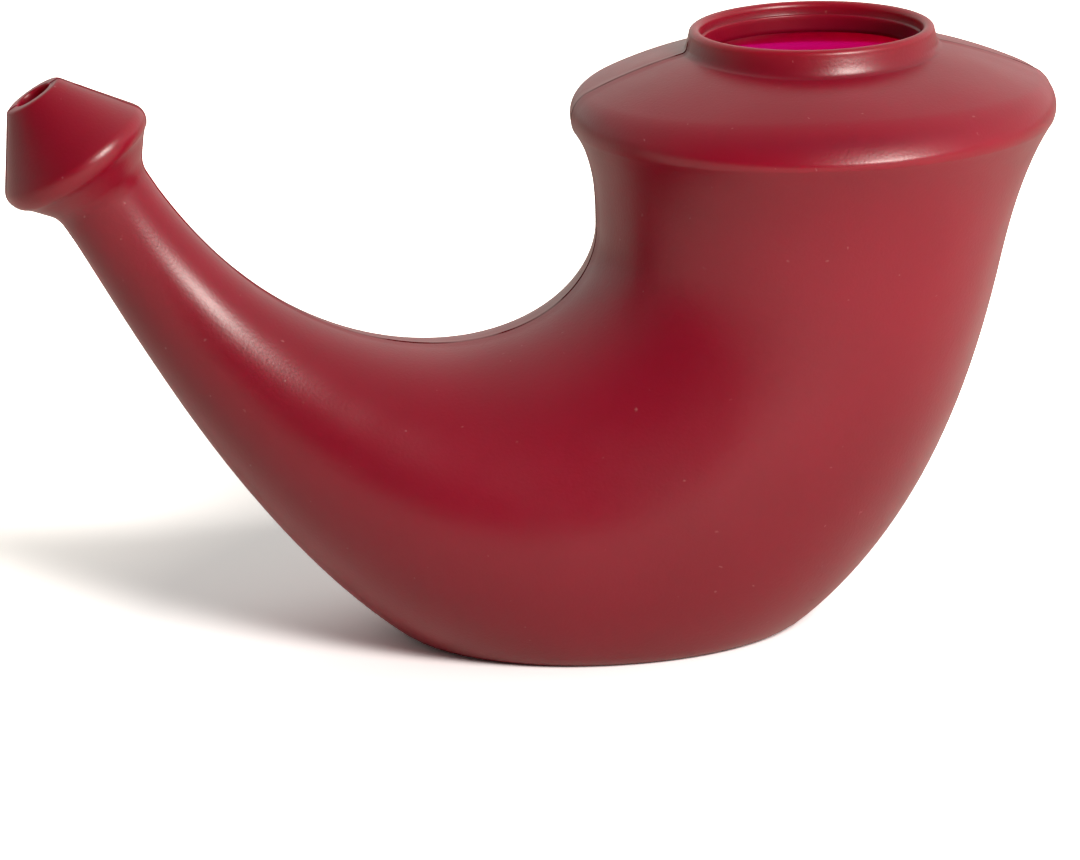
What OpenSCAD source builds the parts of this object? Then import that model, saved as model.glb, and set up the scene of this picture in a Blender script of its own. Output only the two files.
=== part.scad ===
// Horn-shaped rinse pot, blown in one piece. A round mouth with a collar opens into a
// round shoulder, and the body bends like a horn into a spout that ends in a nozzle.
// X runs from the spout to the mouth, Z is up, and the origin is the middle of the foot.

/* [Mouth] */
// Height of the lip above the table
pot_h = 95.5; // [92:0.5:104]
// Distance from the middle of the foot to the axis of the mouth
mouth_x = 34.8; // [32:0.1:38]
// Bore of the mouth above the ledge
mouth_d = 35; // [30:0.1:36]
// Thickness of the lip
lip_wall = 1.8; // [1.4:0.1:2.4]
// Depth of the ledge below the lip
ledge_depth = 2; // [1.5:0.1:3]
// Width of the ledge inside the mouth
ledge_w = 0.4; // [0.2:0.1:0.8]
// Height of the collar above the shoulder
collar_h = 3.6; // [3:0.1:4.5]
// Radius of the hollow round the foot of the collar
collar_fillet = 1; // [0.6:0.1:1.6]

/* [Shoulder] */
// Diameter of the rim, the widest part of the pot
rim_d = 76.5; // [73:0.1:84]
// Drop from the lip to the widest level of the rim
rim_drop = 13.1; // [12:0.1:15]
// Radius of the rounded rim
rim_round = 4.6; // [3.6:0.1:5.2]
// Slope of the shoulder where it meets the rim, in degrees
shoulder_slope = 28; // [24:1:34]
// Rise of the shoulder's curve above a straight cone
shoulder_crown = 0.4; // [0.1:0.1:1]

/* [Body] */
// How far the waist lies inside the rim, on each side
waist_inset = 6; // [5:0.1:8]
// Drop from the rim to the waist
waist_drop = 20.5; // [17:0.1:24]
// Shift of the waist from the axis of the mouth towards the spout
waist_shift = 2.6; // [0.5:0.1:4]
// Lean of the waist, in degrees
waist_lean = 6; // [3:0.5:9]
// Taper of each side at the waist, in degrees
waist_taper = 7; // [4:0.5:9]
// Slope of the flare that runs up under the rim, in degrees
flare_slope = 29.5; // [25:0.5:34]

/* [Saddle] */
// Length of the saddle's curve that follows the spout
saddle_ease_front = 30; // [25:0.5:34]
// Guide point at the front of the saddle, along X
saddle_front_x = -31.1; // [-35:0.1:-27]
// Guide point at the front of the saddle, height
saddle_front_z = 41.6; // [37:0.1:46]
// Guide point at the back of the saddle, along X
saddle_back_x = -8.5; // [-12:0.1:-5]
// Guide point at the back of the saddle, height
saddle_back_z = 43.3; // [40:0.1:47]
// Length of the saddle's curve that follows the waist
saddle_ease_back = 9.3; // [7:0.1:12]

/* [Keel] */
// Length of the keel's curve that follows the spout
keel_ease_front = 26.7; // [22:0.1:32]
// Guide point at the front of the keel, along X
keel_front_x = -40.5; // [-45:0.5:-36]
// Guide point at the front of the keel, height
keel_front_z = -13; // [-18:0.5:-8]
// Guide point under the foot, along X
keel_mid_x = -14; // [-19:0.5:-9]
// Guide point under the foot, height
keel_mid_z = -34; // [-40:0.5:-28]
// Guide point at the back of the keel, along X
keel_back_x = 34.5; // [30:0.5:39]
// Guide point at the back of the keel, height
keel_back_z = -16.5; // [-22:0.5:-11]
// Length of the keel's curve that follows the waist
keel_ease_back = 48; // [42:0.5:54]

/* [Spout] */
// Reach of the spout's neck from the axis of the mouth
spout_reach = 110; // [104:0.5:118]
// Height of the spout's neck
spout_z = 71.4; // [66:0.1:78]
// Rise of the spout's end, in degrees
spout_angle = 59; // [54:0.5:64]
// Diameter of the spout's neck
spout_d = 15.2; // [13:0.1:17]
// Taper of each side behind the neck, in degrees
spout_taper = 2; // [0:0.5:5]

/* [Nozzle] */
// Length of the straight neck behind the nozzle
neck_l = 3; // [1:0.1:6]
// Length of the front cone, from the tip to the ring
nozzle_cone_l = 11.8; // [10:0.1:13]
// Diameter of the ring round the nozzle
ring_d = 25; // [22:0.1:27]
// Radius of the rounded ring
ring_round = 2.6; // [2.2:0.1:3]
// Slope of the nozzle's back, in degrees
nozzle_back = 38; // [34:1:46]
// Radius of the hollow between the neck and the nozzle's back
neck_round = 5; // [3:0.1:6]
// Diameter of the tip
tip_d = 10; // [9:0.1:11]
// Radius of the rounded edge of the tip
tip_round = 0.7; // [0.3:0.1:0.9]
// Bore of the outlet
outlet_d = 6; // [4:0.1:6.6]

/* [Wall] */
// Thickness of the wall
wall = 1.5; // [1.2:0.1:1.8]
// Half height of the blend between the foot and the belly
foot_blend = 1.8; // [1:0.1:3]

/* [Hidden] */
$fn = 96;
// Facets of the bent skin
outer_sides = 52;
inner_sides = 32;
horn_rings = 40;
flare_rings = 6;
arc_steps = 5;
edge_steps = 3;
crown_steps = 8;
// How far the ends of the horn stay inside the rim and the ring, and below their widest level
tuck = 0.2;
tuck_angle = 20;
// Where the hollow leaves the inside of the ring for the front cone, in degrees
cone_turn = 60;
// How far the bent skin is pressed below the foot before the foot is cut flat
press = 0.1;

mouth_r = mouth_d / 2;
throat_r = mouth_r - ledge_w;
lip_r = mouth_r + lip_wall;
collar_z = pot_h - collar_h;
rim_r = rim_d / 2;
rim_z = pot_h - rim_drop;
rim_centre = [rim_r - rim_round, rim_z];
spout_r = spout_d / 2;
spout_x = mouth_x - spout_reach;
tip_r = tip_d / 2;
outlet_r = outlet_d / 2;

function unit(v) = v / norm(v);
function slide(a, b, t) = a + (b - a) * t;
function heading(angle) = [cos(angle), sin(angle)];
function arc(centre, r, from, to, steps) =
    [for (i = [0:steps]) centre + r * heading(slide(from, to, i / steps))];

// A point on the smooth curve that a row of guide points pulls
function curve(guides, t) =
    len(guides) == 1 ? guides[0]
    : curve([for (i = [0:len(guides) - 2]) slide(guides[i], guides[i + 1], t)], t);

// Every section of the horn is a circle, given by its upper and its lower point in the middle plane
function level_section(p) = [[mouth_x - p.x, p.y], [mouth_x + p.x, p.y]];

// Sections round the axis of the spout's end, from a radius and a length outwards from its neck
spout_out = heading(180 - spout_angle);
spout_up = heading(90 - spout_angle);
spout_neck = [spout_x, spout_z];
function nozzle_section(p) =
    let (centre = spout_neck + spout_out * p.y)
    [centre + spout_up * p.x, centre - spout_up * p.x];

// The straight neck, the hollow behind the nozzle and its sloping back, which ends just inside the ring
neck_corner = neck_l + neck_round * tan(nozzle_back / 2);
neck_end_r = ring_d / 2 - ring_round + ring_round * cos(tuck_angle) - tuck;
neck_end = [neck_end_r, neck_corner + (neck_end_r - spout_r) / tan(nozzle_back)];
ring_s = neck_end.y + ring_round * sin(tuck_angle);
ring_centre = [ring_d / 2 - ring_round, ring_s];
nozzle_l = ring_s + nozzle_cone_l;
neck_arc = arc([spout_r + neck_round, neck_l], neck_round, 180 - nozzle_back, 180, arc_steps);
neck_sections = [for (p = concat([neck_end], neck_arc)) nozzle_section(p)];

// The waist, where the horn turns into the flare
waist = [mouth_x - waist_shift, rim_z - waist_drop];
waist_r = rim_r - waist_inset;
waist_across = heading(180 - waist_lean);
saddle = [
    spout_neck + spout_up * spout_r,
    spout_neck + spout_up * spout_r + saddle_ease_front * heading(spout_taper - spout_angle),
    [saddle_front_x, saddle_front_z],
    [saddle_back_x, saddle_back_z],
    waist + waist_across * waist_r - saddle_ease_back * heading(90 - waist_lean + waist_taper),
    waist + waist_across * waist_r
];
keel = [
    spout_neck - spout_up * spout_r,
    spout_neck - spout_up * spout_r + keel_ease_front * heading(-spout_taper - spout_angle),
    [keel_front_x, keel_front_z],
    [keel_mid_x, keel_mid_z],
    [keel_back_x, keel_back_z],
    waist - waist_across * waist_r - keel_ease_back * heading(90 - waist_lean - waist_taper),
    waist - waist_across * waist_r
];

// The flare from the waist up to just inside the rim
flare_top = rim_centre + rim_round * heading(-tuck_angle) - [tuck, 0];
flare_h = flare_top.y - waist.y;
flare_rest = flare_top.x - waist_r - tan(waist_taper) * flare_h;
flare_power = (tan(flare_slope) - tan(waist_taper)) * flare_h / flare_rest;
function flare_section(t) =
    let (
        centre = slide(waist, [mouth_x, flare_top.y], t),
        across = unit(slide(waist_across, [-1, 0], t)),
        r = waist_r + tan(waist_taper) * flare_h * t + flare_rest * pow(t, flare_power)
    )
    [centre + across * r, centre - across * r];

horn_sections = concat(
    neck_sections,
    [for (i = [0:horn_rings]) let (t = i / horn_rings) [curve(saddle, t), curve(keel, t)]],
    [for (i = [1:flare_rings]) flare_section(i / flare_rings)]
);

// The same sections moved in by the wall, square to each side
function side_of(points, i) =
    let (d = unit(points[min(i + 1, len(points) - 1)] - points[max(i - 1, 0)])) [-d.y, d.x];
function moved_in(sections, distance) =
    let (upper = [for (s = sections) s[0]], lower = [for (s = sections) s[1]])
    [for (i = [0:len(sections) - 1])
        [upper[i] - side_of(upper, i) * distance, lower[i] + side_of(lower, i) * distance]];

// The hollow carries on into the nozzle at one end and under the shoulder at the other
outlet_end = [outlet_r - tuck, nozzle_l - wall];
ring_inner = arc(ring_centre, ring_round - wall, cone_turn, tuck_angle, edge_steps);
rim_inner = arc(rim_centre, rim_round - wall, -tuck_angle / 2, 90 - shoulder_slope, arc_steps);
throat_z = collar_z - wall;
throat_end = [[throat_r + wall, throat_z], [throat_r - wall, throat_z + wall / 2]];
hollow_sections = concat(
    [for (p = concat([outlet_end], ring_inner)) nozzle_section(p)],
    moved_in(horn_sections, wall),
    [for (p = concat(rim_inner, throat_end)) level_section(p)]
);

// Presses the underside flat at a level, with a soft blend
function pressed(z, level) =
    let (h = z - level)
    h > foot_blend ? z
    : h < -foot_blend ? level
    : level + pow(h + foot_blend, 2) / (4 * foot_blend);
function ring_points(s, sides, level) =
    let (centre = (s[0] + s[1]) / 2, half = (s[0] - s[1]) / 2)
    [for (i = [0:sides - 1])
        let (a = 360 * i / sides, p = centre + half * cos(a))
        [p.x, norm(half) * sin(a), pressed(p.y, level)]];

// A closed skin over a row of sections
module skin(sections, sides, level) {
    last = len(sections) - 1;
    walls = [for (i = [0:last - 1], j = [0:sides - 1])
        let (a = i * sides + j, b = i * sides + (j + 1) % sides)
        each [[a, b, b + sides], [a, b + sides, a + sides]]];
    start_cap = [for (j = [sides - 1:-1:0]) j];
    end_cap = [for (j = [0:sides - 1]) last * sides + j];
    polyhedron(
        points = [for (s = sections) each ring_points(s, sides, level)],
        faces = concat([start_cap], walls, [end_cap])
    );
}

module at_nozzle() {
    translate([spout_x, 0, spout_z]) rotate([0, spout_angle - 90, 0]) children();
}

// Collar, crowned shoulder and rounded rim
module shoulder() {
    lip = arc([mouth_r + lip_wall / 2, pot_h - lip_wall / 2], lip_wall / 2, 90, 0, arc_steps);
    fillet = arc([lip_r + collar_fillet, collar_z + collar_fillet], collar_fillet, 180, 270, arc_steps);
    edge = arc(rim_centre, rim_round, 90 - shoulder_slope, -90, 2 * arc_steps);
    foot = fillet[arc_steps];
    along = edge[0] - foot;
    crown = [for (i = [1:crown_steps - 1])
        let (t = i / crown_steps)
        foot + along * t + unit([-along.y, along.x]) * 4 * shoulder_crown * t * (1 - t)];
    translate([mouth_x, 0, 0]) rotate_extrude()
        polygon(concat([[0, pot_h]], lip, fillet, crown, edge, [[0, rim_z - rim_round]]));
}

// Rounded ring, front cone and tip of the nozzle
module nozzle() {
    tip_centre = [tip_r - tip_round, nozzle_l - tip_round];
    along = tip_centre - ring_centre;
    front = atan2(along.y, along.x) - 90 + asin((ring_round - tip_round) / norm(along));
    ring = arc(ring_centre, ring_round, -90, front, 2 * arc_steps);
    tip = arc(tip_centre, tip_round, front, 90, edge_steps);
    at_nozzle() rotate_extrude()
        polygon(concat([[0, ring_s - ring_round]], ring, tip, [[0, nozzle_l]]));
}

// Mouth with its rounded edge, throat and outlet, cut through the wall
module bores() {
    edge = arc([mouth_r + lip_wall / 2, pot_h - lip_wall / 2], lip_wall / 2, 180, 90, arc_steps);
    above = pot_h + lip_wall;
    translate([mouth_x, 0, 0]) rotate_extrude()
        polygon(concat([[0, pot_h - ledge_depth], [mouth_r, pot_h - ledge_depth]], edge,
            [[mouth_r + lip_wall / 2, above], [0, above]]));
    translate([mouth_x, 0, throat_z - wall]) cylinder(h = pot_h - throat_z, r = throat_r);
    at_nozzle() translate([0, 0, outlet_end.y - wall]) cylinder(h = 4 * wall, r = outlet_r);
}

module pot() {
    color("firebrick") difference() {
        union() {
            difference() {
                skin(horn_sections, outer_sides, -press);
                translate([-pot_h, -pot_h, -2 * press]) cube([2 * pot_h, 2 * pot_h, 2 * press]);
            }
            shoulder();
            nozzle();
        }
        skin(hollow_sections, inner_sides, wall);
        bores();
    }
}

pot();
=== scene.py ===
import math
import bpy
from mathutils import Matrix, Vector


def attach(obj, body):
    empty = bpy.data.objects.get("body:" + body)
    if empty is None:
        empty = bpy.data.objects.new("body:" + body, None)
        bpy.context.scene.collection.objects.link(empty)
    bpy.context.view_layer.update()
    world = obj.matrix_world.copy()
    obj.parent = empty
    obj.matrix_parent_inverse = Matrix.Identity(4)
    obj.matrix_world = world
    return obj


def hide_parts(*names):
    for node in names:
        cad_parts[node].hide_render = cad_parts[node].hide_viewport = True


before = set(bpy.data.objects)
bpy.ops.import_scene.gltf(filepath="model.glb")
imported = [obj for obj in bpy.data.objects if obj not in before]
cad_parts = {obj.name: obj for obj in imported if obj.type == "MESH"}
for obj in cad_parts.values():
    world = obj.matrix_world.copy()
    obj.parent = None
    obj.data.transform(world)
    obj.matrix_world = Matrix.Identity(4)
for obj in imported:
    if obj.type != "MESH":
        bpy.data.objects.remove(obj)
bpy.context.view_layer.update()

mm = 0.001
print("frame loaded")

# The pot's form, in millimetres and degrees
potForm = {
    "height": 95.5, "mouthX": 34.8, "mouthRadius": 17.5, "lipWall": 1.8,
    "ledgeDepth": 2.0, "ledgeWidth": 0.4, "collarHeight": 3.6, "collarFillet": 1.2,
    "rimRadius": 38.25, "rimDrop": 13.1, "rimRound": 4.6, "shoulderSlope": 28, "shoulderCrown": 0.4,
    "waistRadius": 32.25, "waistDrop": 20.5, "waistShift": 2.6, "waistLean": 6, "waistTaper": 7,
    "flareSlope": 29.5,
    "saddleFront": (-31.1, 41.6), "saddleBack": (-8.5, 43.3), "saddleEase": (30, 9.3),
    "keelFront": (-40.5, -13), "keelMiddle": (-14, -34), "keelBack": (34.5, -16.5), "keelEase": (26.7, 48),
    "spoutReach": 110, "spoutHeight": 71.4, "spoutAngle": 59, "spoutRadius": 7.6, "spoutTaper": 2,
    "neckLength": 3, "coneLength": 11.8, "ringRadius": 12.5, "ringRound": 2.6,
    "nozzleBack": 38, "neckRound": 5, "tipRadius": 5, "tipRound": 0.7, "outletRadius": 3, "outletEdge": 0.25,
    "wall": 1.5, "footBlend": 1.8, "footSink": 0.1, "ledgeEdge": 0.15, "tuck": 0.2, "tuckAngle": -20,
    "sideEdge": 1.5, "sideDrop": 0.82, "sideDome": 12.7, "sideTurn": 29, "sideCollar": (0.3, -0.7),
    "creaseRim": 1.6, "creaseRing": 0.8, "collarFlare": 0.4, "filletFrom": 258,
    "sides": 144, "hornRings": 88, "flareRings": 26, "rimRings": 44, "crownRings": 24, "arcRings": 8,
    "seamHeight": 0.14, "seamWidth": 0.18, "seamFrom": 0.5, "seamTo": 94.2,
    "hollowTop": 90.3, "hollowFade": (-70, -50),
}


def heading(angle):
    return Vector((math.cos(math.radians(angle)), math.sin(math.radians(angle))))


def slide(a, b, t):
    return a + (b - a) * t


def arcPoints(centre, radius, start, end, steps):
    return [centre + heading(slide(start, end, i / steps)) * radius for i in range(steps + 1)]


def linePoints(start, end, steps):
    return [slide(start, end, i / steps) for i in range(1, steps)]


def curvePoint(guides, t):
    while len(guides) > 1:
        guides = [slide(a, b, t) for a, b in zip(guides, guides[1:])]
    return guides[0]


def crossing(pointAt, centre, radius):
    # where a line that starts outside a circle goes in
    low, high = 0.0, 1.0
    for _ in range(40):
        middle = (low + high) / 2
        if (pointAt(middle) - centre).length > radius:
            low = middle
        else:
            high = middle
    return low


def angleOf(v):
    return math.degrees(math.atan2(v.y, v.x))


def softCorner(before, after, reach, steps):
    # rounds the corner where one run of points meets the next
    corner = before[-1]
    before = [p for p in before if (p.xy - corner.xy).length > reach]
    after = [p for p in after if (p.xy - corner.xy).length > reach]
    guides = [before[-1], corner, after[0]]
    return before + [curvePoint(guides, i / steps) for i in range(1, steps)] + after


# Every ring of the skin is a circle, kept as its upper and its lower point in the middle plane
def levelRing(p):
    return (Vector((potForm["mouthX"] - p.x, p.y)), Vector((potForm["mouthX"] + p.x, p.y)))


neck = Vector((potForm["mouthX"] - potForm["spoutReach"], potForm["spoutHeight"]))
spoutOut = heading(180 - potForm["spoutAngle"])
spoutUp = heading(90 - potForm["spoutAngle"])


def nozzleRing(p):
    centre = neck + spoutOut * p.y
    return (centre + spoutUp * p.x, centre - spoutUp * p.x)


def movedIn(rings, distance):
    moved = []
    for i, (upper, lower) in enumerate(rings):
        before, after = rings[max(i - 1, 0)], rings[min(i + 1, len(rings) - 1)]
        alongUpper = (after[0] - before[0]).normalized()
        alongLower = (after[1] - before[1]).normalized()
        moved.append((upper - Vector((-alongUpper.y, alongUpper.x)) * distance,
                      lower + Vector((-alongLower.y, alongLower.x)) * distance))
    return moved


def nozzleRings(form):
    # from the bore's edge over the tip, the cone and the ring to the neck
    slope = math.tan(math.radians(form["nozzleBack"]))
    neckTurn = form["neckLength"]
    neckCorner = neckTurn + form["neckRound"] * math.tan(math.radians(form["nozzleBack"] / 2))
    neckEnd = heading(form["tuckAngle"]) * form["ringRound"]
    neckEnd.x += form["ringRadius"] - form["ringRound"] - form["tuck"]
    ringAlong = neckCorner + (neckEnd.x - form["spoutRadius"]) / slope - neckEnd.y
    neckEnd.y += ringAlong
    tipAlong = ringAlong + form["coneLength"]
    ringCentre = Vector((form["ringRadius"] - form["ringRound"], ringAlong))
    tipCentre = Vector((form["tipRadius"] - form["tipRound"], tipAlong - form["tipRound"]))
    along = tipCentre - ringCentre
    spread = math.asin((form["ringRound"] - form["tipRound"]) / along.length)
    front = angleOf(along) - 90 + math.degrees(spread)
    neckArc = arcPoints(Vector((form["spoutRadius"] + form["neckRound"], neckTurn)), form["neckRound"],
                        180 - form["nozzleBack"], 180, 12)
    meet = crossing(lambda t: slide(neckArc[0], neckEnd, t), ringCentre, form["ringRound"])
    meetPoint = slide(neckArc[0], neckEnd, meet)
    edge = form["outletEdge"]
    outletEdge = Vector((form["outletRadius"] + edge, tipAlong - edge))
    tipArc = arcPoints(tipCentre, form["tipRound"], 90, front, form["arcRings"])
    ringArc = arcPoints(ringCentre, form["ringRound"], front, angleOf(meetPoint - ringCentre), 22)
    outer = arcPoints(outletEdge, edge, 180, 90, 4)
    outer += linePoints(outer[-1], tipArc[0], 3) + tipArc
    outer += linePoints(tipArc[-1], ringArc[0], 12) + ringArc
    back = linePoints(meetPoint, neckArc[0], 12) + neckArc
    outer = softCorner(outer, back, form["creaseRing"], form["arcRings"])
    hollowNeck = [neckEnd] + neckArc
    inner = arcPoints(ringCentre, form["ringRound"] - form["wall"], 60, 20, 6)
    outletEnd = Vector((form["outletRadius"], tipAlong - form["wall"]))
    return outer, hollowNeck, [outletEnd] + linePoints(outletEnd, inner[0], 6) + inner


def hornRails(form):
    upperStart = neck + spoutUp * form["spoutRadius"]
    lowerStart = neck - spoutUp * form["spoutRadius"]
    rimZ = form["height"] - form["rimDrop"]
    waist = Vector((form["mouthX"] - form["waistShift"], rimZ - form["waistDrop"]))
    across = heading(180 - form["waistLean"])
    upperEnd = waist + across * form["waistRadius"]
    lowerEnd = waist - across * form["waistRadius"]
    lean, taper = form["waistLean"], form["waistTaper"]
    saddle = [upperStart,
              upperStart + heading(form["spoutTaper"] - form["spoutAngle"]) * form["saddleEase"][0],
              Vector(form["saddleFront"]), Vector(form["saddleBack"]),
              upperEnd - heading(90 - lean + taper) * form["saddleEase"][1], upperEnd]
    keel = [lowerStart,
            lowerStart + heading(-form["spoutTaper"] - form["spoutAngle"]) * form["keelEase"][0],
            Vector(form["keelFront"]), Vector(form["keelMiddle"]), Vector(form["keelBack"]),
            lowerEnd - heading(90 - lean - taper) * form["keelEase"][1], lowerEnd]
    return saddle, keel, waist, across


def flareCurve(form, waist):
    # the concave run from the waist up to just inside the rim
    rimCentre = Vector((form["rimRadius"] - form["rimRound"], form["height"] - form["rimDrop"]))
    top = rimCentre + heading(form["tuckAngle"]) * form["rimRound"] - Vector((form["tuck"], 0))
    rise = top.y - waist.y
    taper = math.tan(math.radians(form["waistTaper"]))
    rest = top.x - form["waistRadius"] - taper * rise
    power = (math.tan(math.radians(form["flareSlope"])) - taper) * rise / rest

    def pointAt(t):
        return Vector((form["waistRadius"] + taper * rise * t + rest * t ** power, waist.y + rise * t))
    return pointAt, rimCentre, top


def flareRing(point, waist, across, top):
    # leans as the waist does at its foot, and lies level at its top
    t = min((point.y - waist.y) / (top.y - waist.y), 1)
    centre = Vector((slide(waist.x, potForm["mouthX"], t), point.y))
    lean = slide(across, Vector((-1, 0)), t).normalized()
    return (centre + lean * point.x, centre - lean * point.x)


def withSide(points, sidePoints):
    # each point of the rim in the middle plane, with its place at the pot's sides
    return [Vector((a.x, a.y, b.x, b.y)) for a, b in zip(points, sidePoints)]


def sideArc(form, angle):
    # at the sides the rim is a flatter dome with a tight lower edge
    edgeCentre = Vector((form["rimRadius"] - form["sideEdge"],
                         form["height"] - form["rimDrop"] - form["sideDrop"]))
    if angle < form["sideTurn"]:
        return edgeCentre + heading(angle) * form["sideEdge"]
    domeCentre = edgeCentre + heading(form["sideTurn"]) * (form["sideEdge"] - form["sideDome"])
    return domeCentre + heading(angle) * form["sideDome"]


def crownPoints(start, end, rise, steps):
    along = end - start
    square = Vector((-along.y, along.x)).normalized()
    if square.y < 0:
        square = -square
    return [start + along * t + square * 4 * rise * t * (1 - t) for t in [i / steps for i in range(1, steps)]]


def potRings(form):
    nozzleOuter, hollowNeck, nozzleInner = nozzleRings(form)
    saddle, keel, waist, across = hornRails(form)
    flareAt, rimCentre, flareTop = flareCurve(form, waist)
    meet = crossing(flareAt, rimCentre, form["rimRound"])
    hornSteps, flareSteps, rimSteps = form["hornRings"], form["flareRings"], form["rimRings"]
    horn = [(curvePoint(saddle, i / hornSteps), curvePoint(keel, i / hornSteps))
            for i in range(hornSteps + 1)]
    rimFoot = flareAt(meet)
    slope = form["shoulderSlope"]
    rimStart = angleOf(rimFoot - rimCentre)
    rimArc = arcPoints(rimCentre, form["rimRound"], rimStart, 90 - slope, rimSteps)
    rimSide = [sideArc(form, slide(rimStart, 90 - slope, i / rimSteps)) for i in range(rimSteps + 1)]
    flare = [flareAt(meet * i / flareSteps) for i in range(1, flareSteps + 1)]
    flareSide = [p + (rimSide[0] - rimArc[0]) * (i / flareSteps) ** 4 for i, p in enumerate(flare, 1)]
    arcSteps = form["arcRings"]
    rise = softCorner(withSide(flare, flareSide), withSide(rimArc, rimSide), form["creaseRim"], arcSteps)
    collarZ = form["height"] - form["collarHeight"]
    lipRadius = form["mouthRadius"] + form["lipWall"]
    flareAngle = math.degrees(math.atan2(form["collarFlare"], form["collarHeight"]))
    filletCentre = Vector((lipRadius + form["collarFlare"] + form["collarFillet"],
                           collarZ + form["collarFillet"]))
    fillet = arcPoints(filletCentre, form["collarFillet"], form["filletFrom"], 180 + flareAngle, arcSteps)
    filletSide = [p + Vector(form["sideCollar"]) * (1 - (i / arcSteps) ** 4) for i, p in enumerate(fillet)]
    crown = withSide(crownPoints(rimArc[-1], fillet[0], form["shoulderCrown"], form["crownRings"]),
                     crownPoints(rimSide[-1], filletSide[0], form["shoulderCrown"], form["crownRings"]))
    crown += withSide(fillet, filletSide)
    lipCentre = Vector((form["mouthRadius"] + form["lipWall"] / 2, form["height"] - form["lipWall"] / 2))
    lip = arcPoints(lipCentre, form["lipWall"] / 2, 0, 180, 18)
    ledgeZ = form["height"] - form["ledgeDepth"]
    throatRadius = form["mouthRadius"] - form["ledgeWidth"]
    throatZ = collarZ - form["wall"]
    edge = form["ledgeEdge"]
    mouth = [Vector((form["mouthRadius"], ledgeZ + edge)), Vector((form["mouthRadius"] - edge / 2, ledgeZ))]
    mouth += arcPoints(Vector((throatRadius + edge, ledgeZ - edge)), edge, 90, 180, 3)
    throatEnd = Vector((throatRadius, throatZ + form["wall"] / 4))
    throat = linePoints(mouth[-1], throatEnd, 4) + [throatEnd]
    underside = [Vector((throatRadius + form["wall"], throatZ))]
    innerRim = arcPoints(rimCentre, form["rimRound"] - form["wall"], 90 - slope, -10, 14)
    underside += linePoints(underside[0], innerRim[0], 14)
    outer = [nozzleRing(p) for p in nozzleOuter] + horn
    sideShifts = {len(outer) + i: p.zw - p.xy for i, p in enumerate(rise + crown)}
    outer += [flareRing(p, waist, across, rimFoot) for p in rise]
    outer += [levelRing(p) for p in crown + linePoints(fillet[-1], lip[0], 3) + lip]
    hollow = [nozzleRing(p) for p in hollowNeck] + horn
    hollow += [flareRing(flareAt(i / 10), waist, across, flareTop) for i in range(1, 11)]
    inner = [levelRing(p) for p in mouth + throat + underside + innerRim]
    inner += movedIn(hollow, form["wall"])[::-1] + [nozzleRing(p) for p in nozzleInner[::-1]]
    return outer, inner, sideShifts


def ringPlace(ring):
    middle, across = (ring[0] + ring[1]) / 2, ring[0] - ring[1]
    return Vector((middle.x, 0, middle.y)) * mm, across.length / 2 * mm, math.atan2(-across.y, across.x)


def growRing(old, new):
    # one more ring of the skin: extrude the last one, then size, turn and move it
    centre, radius, turn = ringPlace(old)
    newCentre, newRadius, newTurn = ringPlace(new)
    bpy.ops.mesh.extrude_region()
    size = newRadius / radius
    bpy.ops.transform.resize(value=(size, size, size), center_override=centre)
    change = (newTurn - turn + math.pi) % (2 * math.pi) - math.pi
    if abs(change) > 1e-6:
        bpy.ops.transform.rotate(value=-change, orient_axis="Y", center_override=centre)
    bpy.ops.transform.translate(value=newCentre - centre)


def pressed(z, level, blend):
    rise = z - level
    if rise > blend:
        return z
    if rise < -blend:
        return level
    return level + (rise + blend) ** 2 / (4 * blend)


def pressFoot(mesh, form, outerVertices):
    # sets the underside down flat with a soft blend, and its inside one wall above
    for v in mesh.vertices:
        if v.index < outerVertices:
            v.co.z = max(pressed(v.co.z / mm, -form["footSink"], form["footBlend"]), 0) * mm
        else:
            v.co.z = pressed(v.co.z / mm, form["wall"], form["footBlend"]) * mm


def shapeSides(mesh, rings, sideShifts, sides):
    # moves the rim to its own section at the pot's two sides, and leaves the middle plane
    for v in mesh.vertices:
        shift = sideShifts.get(v.index // sides)
        if shift is None:
            continue
        centre, radius, _ = ringPlace(rings[v.index // sides])
        share = (v.co.y / radius) ** 2
        v.co += (v.co - centre).normalized() * shift.x * mm * share + Vector((0, 0, shift.y * mm * share))


def markInside(mesh, form, outerVertices):
    # marks the hollow below the throat, whose colour is painted brighter as a glow, and fades towards the
    # nozzle
    mark = mesh.attributes.new("inside", "FLOAT", "POINT")
    none, full = form["hollowFade"]
    for v in mesh.vertices:
        if v.index >= outerVertices and v.co.z < form["hollowTop"] * mm:
            mark.data[v.index].value = min(max((v.co.x / mm - none) / (full - none), 0), 1)


def raiseSeam(pot, form, seamVertices):
    # the fine line where the two halves of the mould met
    seam = pot.vertex_groups.new(name="seam")
    seam.add(seamVertices, 1.0, "REPLACE")
    bpy.ops.object.mode_set(mode="EDIT")
    for side in (-1, 1):
        for reach in (1, 2):
            bpy.ops.mesh.select_all(action="SELECT")
            bpy.ops.mesh.bisect(plane_co=(0, side * reach * form["seamWidth"] * mm, 0), plane_no=(0, 1, 0))
    bpy.ops.mesh.select_all(action="DESELECT")
    bpy.ops.object.vertex_group_select()
    bpy.ops.transform.shrink_fatten(value=form["seamHeight"] * mm)
    bpy.ops.object.mode_set(mode="OBJECT")


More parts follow.
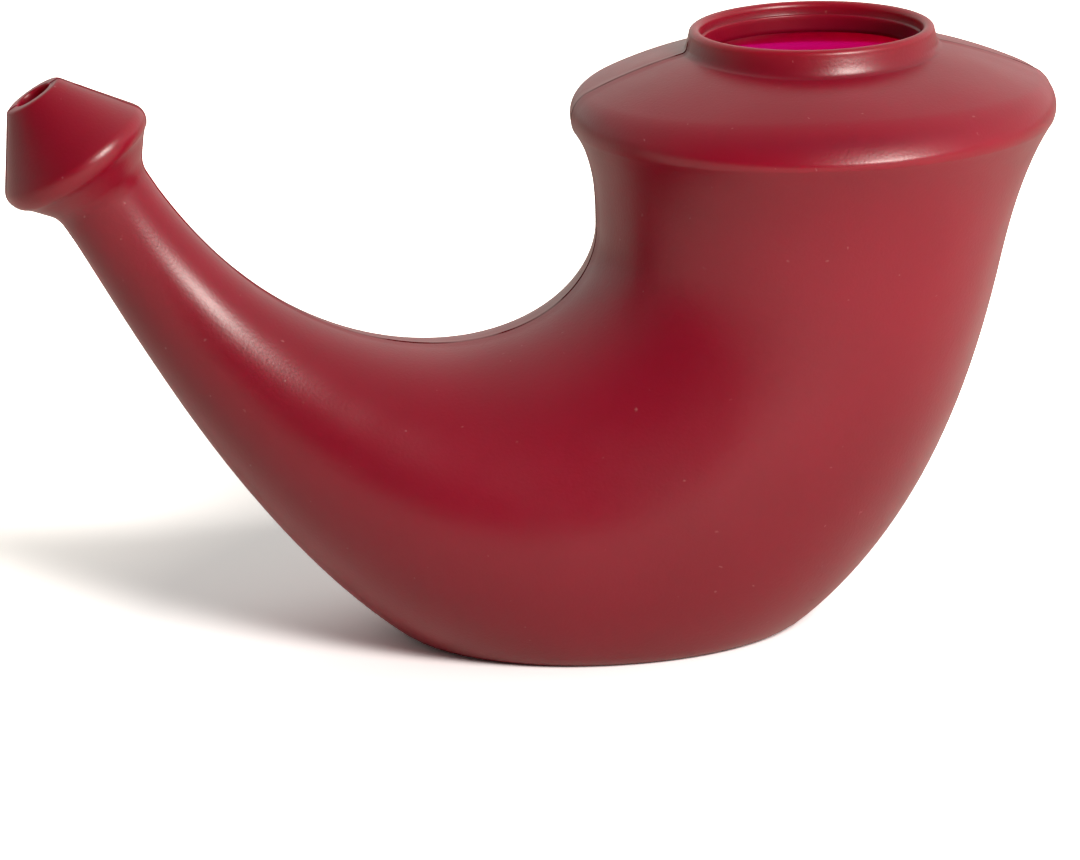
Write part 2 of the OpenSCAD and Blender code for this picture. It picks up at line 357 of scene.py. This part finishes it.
def makePot(form):
    outer, inner, sideShifts = potRings(form)
    rings = outer + inner
    sides = form["sides"]
    centre, radius, turn = ringPlace(rings[0])
    bpy.ops.object.select_all(action="DESELECT")
    bpy.ops.mesh.primitive_circle_add(vertices=sides, radius=radius, location=centre, rotation=(0, turn, 0))
    pot = bpy.context.object
    pot.name = pot.data.name = "potShell"
    bpy.ops.object.transform_apply(location=True, rotation=True, scale=True)
    bpy.ops.object.mode_set(mode="EDIT")
    bpy.ops.mesh.select_all(action="SELECT")
    for old, new in zip(rings, rings[1:]):
        growRing(old, new)
    bpy.ops.mesh.select_all(action="DESELECT")
    bpy.ops.mesh.select_mode(type="EDGE")
    bpy.ops.mesh.select_non_manifold()
    bpy.ops.mesh.bridge_edge_loops()
    bpy.ops.mesh.select_all(action="SELECT")
    bpy.ops.mesh.normals_make_consistent(inside=False)
    bpy.ops.mesh.select_mode(type="VERT")
    bpy.ops.object.mode_set(mode="OBJECT")
    outerVertices = len(outer) * sides
    shapeSides(pot.data, rings, sideShifts, sides)
    pressFoot(pot.data, form, outerVertices)
    markInside(pot.data, form, outerVertices)
    seamVertices = [v.index for v in pot.data.vertices
                    if v.index < outerVertices and abs(v.co.y) < 1e-6
                    and form["seamFrom"] * mm < v.co.z < form["seamTo"] * mm]
    raiseSeam(pot, form, seamVertices)
    bpy.ops.object.shade_smooth()
    return pot


pot = makePot(potForm)
print("pot made", len(pot.data.polygons), "faces")

# Finish of the plastic: colours are linear, lengths in metres
plasticFinish = {
    "colour": (0.245, 0.0016, 0.017, 1), "colourDeep": (0.2, 0.0012, 0.0125, 1),
    "roughness": (0.3, 0.4), "ior": 1.5,
    # the inside colour is a painted glow, brighter than the plastic outside
    "insideGlowColour": (0.26, 0.005, 0.03, 1), "driftScale": 22, "seamRunScale": 60,
    # the seam's colour is a painted shade for the dark face of its ridge
    "seamShadeColour": (0.06, 0.003, 0.004, 1), "seamReach": 0.00055, "seamTop": (0.0938, 0.0944),
    "glowWeight": 1.0, "glowScale": (0.006, 0.016), "glowRadius": (1.0, 0.12, 0.37),
    "waveDepth": 0.00025, "waveScale": 55, "grainDepth": 0.000022, "grainScale": 2000,
    "dust": (0.42, 0.2, 0.2, 1), "dustAmount": 0.35, "dustScale": 340, "dustSize": (0.04, 0.09),
    "dustShare": (0.58, 0.72), "dustRough": 0.4, "raggedScale": 900, "raggedReach": 0.0012,
    "smearScale": 45, "scratchScale": 60, "scratchWidth": 0.012, "scratchPatch": 35, "scratchRough": 0.08,
}


def addNode(tree, kind, **values):
    node = tree.nodes.new(kind)
    for name, value in values.items():
        if hasattr(node, name):
            setattr(node, name, value)
        else:
            node.inputs[name.replace("_", " ")].default_value = value
    return node


def noise(tree, coords, scale, detail=2.0, roughness=0.5):
    node = addNode(tree, "ShaderNodeTexNoise", Scale=scale, Detail=detail, Roughness=roughness)
    tree.links.new(coords, node.inputs["Vector"])
    return node.outputs["Fac"]


def mapped(tree, source, low, high, toLow, toHigh):
    node = addNode(tree, "ShaderNodeMapRange", clamp=True)
    for name, value in (("From Min", low), ("From Max", high), ("To Min", toLow), ("To Max", toHigh)):
        node.inputs[name].default_value = value
    tree.links.new(source, node.inputs["Value"])
    return node.outputs["Result"]


def mathNode(tree, operation, a, b):
    node = addNode(tree, "ShaderNodeMath", operation=operation)
    for i, value in enumerate((a, b)):
        if isinstance(value, (int, float)):
            node.inputs[i].default_value = value
        else:
            tree.links.new(value, node.inputs[i])
    return node.outputs[0]


def mixColour(tree, factor, a, b):
    node = addNode(tree, "ShaderNodeMix", data_type="RGBA")
    for socket, value in ((0, factor), (6, a), (7, b)):
        if isinstance(value, (tuple, float)):
            node.inputs[socket].default_value = value
        else:
            tree.links.new(value, node.inputs[socket])
    return node.outputs[2]


def makePlastic(finish):
    material = bpy.data.materials.new("redPlastic")
    material.use_nodes = True
    tree = material.node_tree
    shader = tree.nodes["Principled BSDF"]
    coords = addNode(tree, "ShaderNodeTexCoord").outputs["Object"]
    # slow drift of the colour, as the wall runs thicker and thinner
    drift = mapped(tree, noise(tree, coords, finish["driftScale"]), 0.35, 0.65, 0, 1)
    colour = mixColour(tree, drift, finish["colour"], finish["colourDeep"])
    # sparse dust and pale nicks
    ragged = addNode(tree, "ShaderNodeTexNoise", Scale=finish["raggedScale"], Detail=1.0)
    tree.links.new(coords, ragged.inputs["Vector"])
    pulled = addNode(tree, "ShaderNodeVectorMath", operation="MULTIPLY_ADD")
    tree.links.new(ragged.outputs["Color"], pulled.inputs[0])
    pulled.inputs[1].default_value = [finish["raggedReach"]] * 3
    tree.links.new(coords, pulled.inputs[2])
    cells = addNode(tree, "ShaderNodeTexVoronoi", Scale=finish["dustScale"])
    tree.links.new(pulled.outputs[0], cells.inputs["Vector"])
    speck = mapped(tree, cells.outputs["Distance"], *finish["dustSize"], 1, 0)
    chosen = addNode(tree, "ShaderNodeSeparateColor")
    tree.links.new(cells.outputs["Color"], chosen.inputs[0])
    sparse = mapped(tree, chosen.outputs[0], *finish["dustShare"], 0, 1)
    dust = mathNode(tree, "MULTIPLY", mathNode(tree, "MULTIPLY", speck, sparse), finish["dustAmount"])
    colour = mixColour(tree, dust, colour, finish["dust"])
    # painted shade along the mould's parting line: a dark line for the dark face of its raised ridge, in
    # longer and shorter runs
    place = addNode(tree, "ShaderNodeSeparateXYZ")
    tree.links.new(coords, place.inputs[0])
    off = mathNode(tree, "ABSOLUTE", place.outputs["Y"], 0.0)
    line = mapped(tree, off, 0.5 * finish["seamReach"], finish["seamReach"], 1, 0)
    run = mapped(tree, noise(tree, coords, finish["seamRunScale"]), 0.4, 0.55, 0.4, 0.95)
    belowLip = mapped(tree, place.outputs["Z"], *finish["seamTop"], 1, 0)
    paintedSeamShade = mathNode(tree, "MULTIPLY", mathNode(tree, "MULTIPLY", line, run), belowLip)
    colour = mixColour(tree, paintedSeamShade, colour, finish["seamShadeColour"])
    # the painted shade line also reflects less
    tree.links.new(mapped(tree, paintedSeamShade, 0, 0.8, 0.5, 0.0), shader.inputs["Specular IOR Level"])
    # painted glow: the hollow gets a brighter, more magenta colour for light that comes through the wall
    inside = addNode(tree, "ShaderNodeAttribute", attribute_name="inside")
    colour = mixColour(tree, inside.outputs["Fac"], colour, finish["insideGlowColour"])
    tree.links.new(colour, shader.inputs["Base Color"])
    # handling marks: long fine scratches in a few patches
    stretch = addNode(tree, "ShaderNodeMapping")
    stretch.inputs["Rotation"].default_value = (0.4, 0.9, 0.5)
    stretch.inputs["Scale"].default_value = (1.0, 7.0, 0.8)
    tree.links.new(coords, stretch.inputs["Vector"])
    lines = addNode(tree, "ShaderNodeTexVoronoi", feature="DISTANCE_TO_EDGE", Scale=finish["scratchScale"])
    tree.links.new(stretch.outputs[0], lines.inputs["Vector"])
    patch = mapped(tree, noise(tree, coords, finish["scratchPatch"], 1), 0.56, 0.66, 0, 1)
    stroke = mapped(tree, lines.outputs["Distance"], 0.0, finish["scratchWidth"], 1, 0)
    scratch = mathNode(tree, "MULTIPLY", stroke, patch)
    # roughness from smears and grain
    low, high = finish["roughness"]
    smear = mapped(tree, noise(tree, coords, finish["smearScale"], 4, 0.6), 0.3, 0.7, low, high)
    scratched = mathNode(tree, "MULTIPLY", scratch, finish["scratchRough"])
    dusty = mathNode(tree, "MULTIPLY", dust, finish["dustRough"])
    rough = mathNode(tree, "ADD", mathNode(tree, "ADD", smear, scratched), dusty)
    tree.links.new(rough, shader.inputs["Roughness"])
    # the blown wall waves a little, with a fine grain on it
    wave = addNode(tree, "ShaderNodeBump", Distance=finish["waveDepth"], Strength=1.0)
    tree.links.new(noise(tree, coords, finish["waveScale"], 1), wave.inputs["Height"])
    grain = addNode(tree, "ShaderNodeBump", Distance=finish["grainDepth"], Strength=1.0)
    tree.links.new(noise(tree, coords, finish["grainScale"]), grain.inputs["Height"])
    tree.links.new(wave.outputs[0], grain.inputs["Normal"])
    tree.links.new(grain.outputs[0], shader.inputs["Normal"])
    shader.inputs["IOR"].default_value = finish["ior"]
    shader.inputs["Subsurface Weight"].default_value = finish["glowWeight"]
    glow = mapped(tree, inside.outputs["Fac"], 0, 1, *finish["glowScale"])
    tree.links.new(glow, shader.inputs["Subsurface Scale"])
    shader.inputs["Subsurface Radius"].default_value = finish["glowRadius"]
    return material


pot.data.materials.append(makePlastic(plasticFinish))
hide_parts("pot")
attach(pot, "root")
print("plastic set")

# Floor and studio: colours are linear, lengths in metres
stageLook = {
    # the floor's far colour is painted light that fades the pot's shadow out
    "floorSize": 6.0, "floorReach": (0.075, 0.15), "floorLit": (0.8, 0.77, 0.71, 1.0),
    "floorNear": (1.32, 1.37, 1.43, 1.0), "floorFar": (2.6, 2.6, 2.6, 1.0),
    "worldFront": (0.05, 0.048, 0.044, 1.0), "worldBack": (0.9, 0.86, 0.79, 1.0),
    "worldRight": (1.3, 1.24, 1.14, 1.0), "worldSeen": (1.0, 1.0, 1.0, 1.0),
    "backReach": (-0.35, 0.8), "rightReach": (0.15, 1), "rightShare": 0.6,
}


def cameraRay(tree):
    path = addNode(tree, "ShaderNodeLightPath")
    return path.outputs["Is Camera Ray"]


def makeStage(look):
    bpy.ops.mesh.primitive_plane_add(size=look["floorSize"], location=(0, 0, 0))
    floor = bpy.context.object
    floor.name = "floor"
    material = bpy.data.materials.new("paleFloor")
    material.use_nodes = True
    tree = material.node_tree
    shader = tree.nodes["Principled BSDF"]
    # painted light: seen paler away from the pot, which whitens the far part of its shadow, so that it runs
    # out into white
    away = addNode(tree, "ShaderNodeVectorMath", operation="LENGTH")
    tree.links.new(addNode(tree, "ShaderNodeTexCoord").outputs["Object"], away.inputs[0])
    far = mapped(tree, away.outputs["Value"], *look["floorReach"], 0, 1)
    seen = mixColour(tree, far, look["floorNear"], look["floorFar"])
    shader.inputs["Roughness"].default_value = 0.9
    shader.inputs["Specular IOR Level"].default_value = 0.0
    tree.links.new(mixColour(tree, cameraRay(tree), look["floorLit"], seen), shader.inputs["Base Color"])
    floor.data.materials.append(material)
    world = bpy.data.worlds.new("studio")
    bpy.context.scene.world = world
    world.use_nodes = True
    tree = world.node_tree
    background = tree.nodes["Background"]
    # a pale room behind the table, darker on the camera's side
    side = addNode(tree, "ShaderNodeSeparateXYZ")
    tree.links.new(addNode(tree, "ShaderNodeTexCoord").outputs["Generated"], side.inputs[0])
    back = mapped(tree, side.outputs["Y"], *look["backReach"], 0, 1)
    right = mapped(tree, side.outputs["X"], *look["rightReach"], 0, look["rightShare"])
    room = mixColour(tree, back, look["worldFront"], look["worldBack"])
    room = mixColour(tree, right, room, look["worldRight"])
    tree.links.new(mixColour(tree, cameraRay(tree), room, look["worldSeen"]), background.inputs["Color"])


makeStage(stageLook)

# Lamps: place and target in metres, size in metres, power in watts
lamps = {
    "keyLamp": {"place": (0.44, -0.79, 0.62), "target": (0, 0, 0.04), "size": 0.36, "power": 14.0,
                "colour": (1.0, 0.92, 0.85)},
}


def makeLamp(name, lamp):
    place = Vector(lamp["place"])
    bpy.ops.object.light_add(type="AREA", location=place)
    light = bpy.context.object
    light.name = name
    light.data.size = lamp["size"]
    light.data.energy = lamp["power"]
    light.data.color = lamp["colour"]
    light.rotation_euler = (Vector(lamp["target"]) - place).to_track_quat("-Z", "Y").to_euler()


for name, lamp in lamps.items():
    makeLamp(name, lamp)

# The photograph's viewing angle: azimuth and roll in degrees, lengths in metres
cameraPlace = {
    "azimuth": -6.9, "distance": 0.82593, "height": 0.27408, "target": (-0.00989, 0, 0.03227),
    "roll": -1.68, "lens": 180.37, "sensor": 36,
}


def makeCamera(view):
    azimuth, roll = math.radians(view["azimuth"]), math.radians(view["roll"])
    target = Vector(view["target"])
    place = Vector((target.x + view["distance"] * math.sin(azimuth),
                    target.y - view["distance"] * math.cos(azimuth), view["height"]))
    forward = (target - place).normalized()
    right = forward.cross(Vector((0, 0, 1))).normalized()
    up = right.cross(forward)
    right, up = right * math.cos(roll) + up * math.sin(roll), up * math.cos(roll) - right * math.sin(roll)
    bpy.ops.object.camera_add(location=place)
    camera = bpy.context.object
    camera.name = "photoCamera"
    camera.data.lens = view["lens"]
    camera.data.sensor_width = view["sensor"]
    camera.data.clip_start = 0.01
    camera.rotation_euler = Matrix((right, up, -forward)).transposed().to_euler()
    bpy.context.scene.camera = camera


makeCamera(cameraPlace)
bpy.context.scene.view_settings.view_transform = "Standard"
print("stage, lamps and camera set")
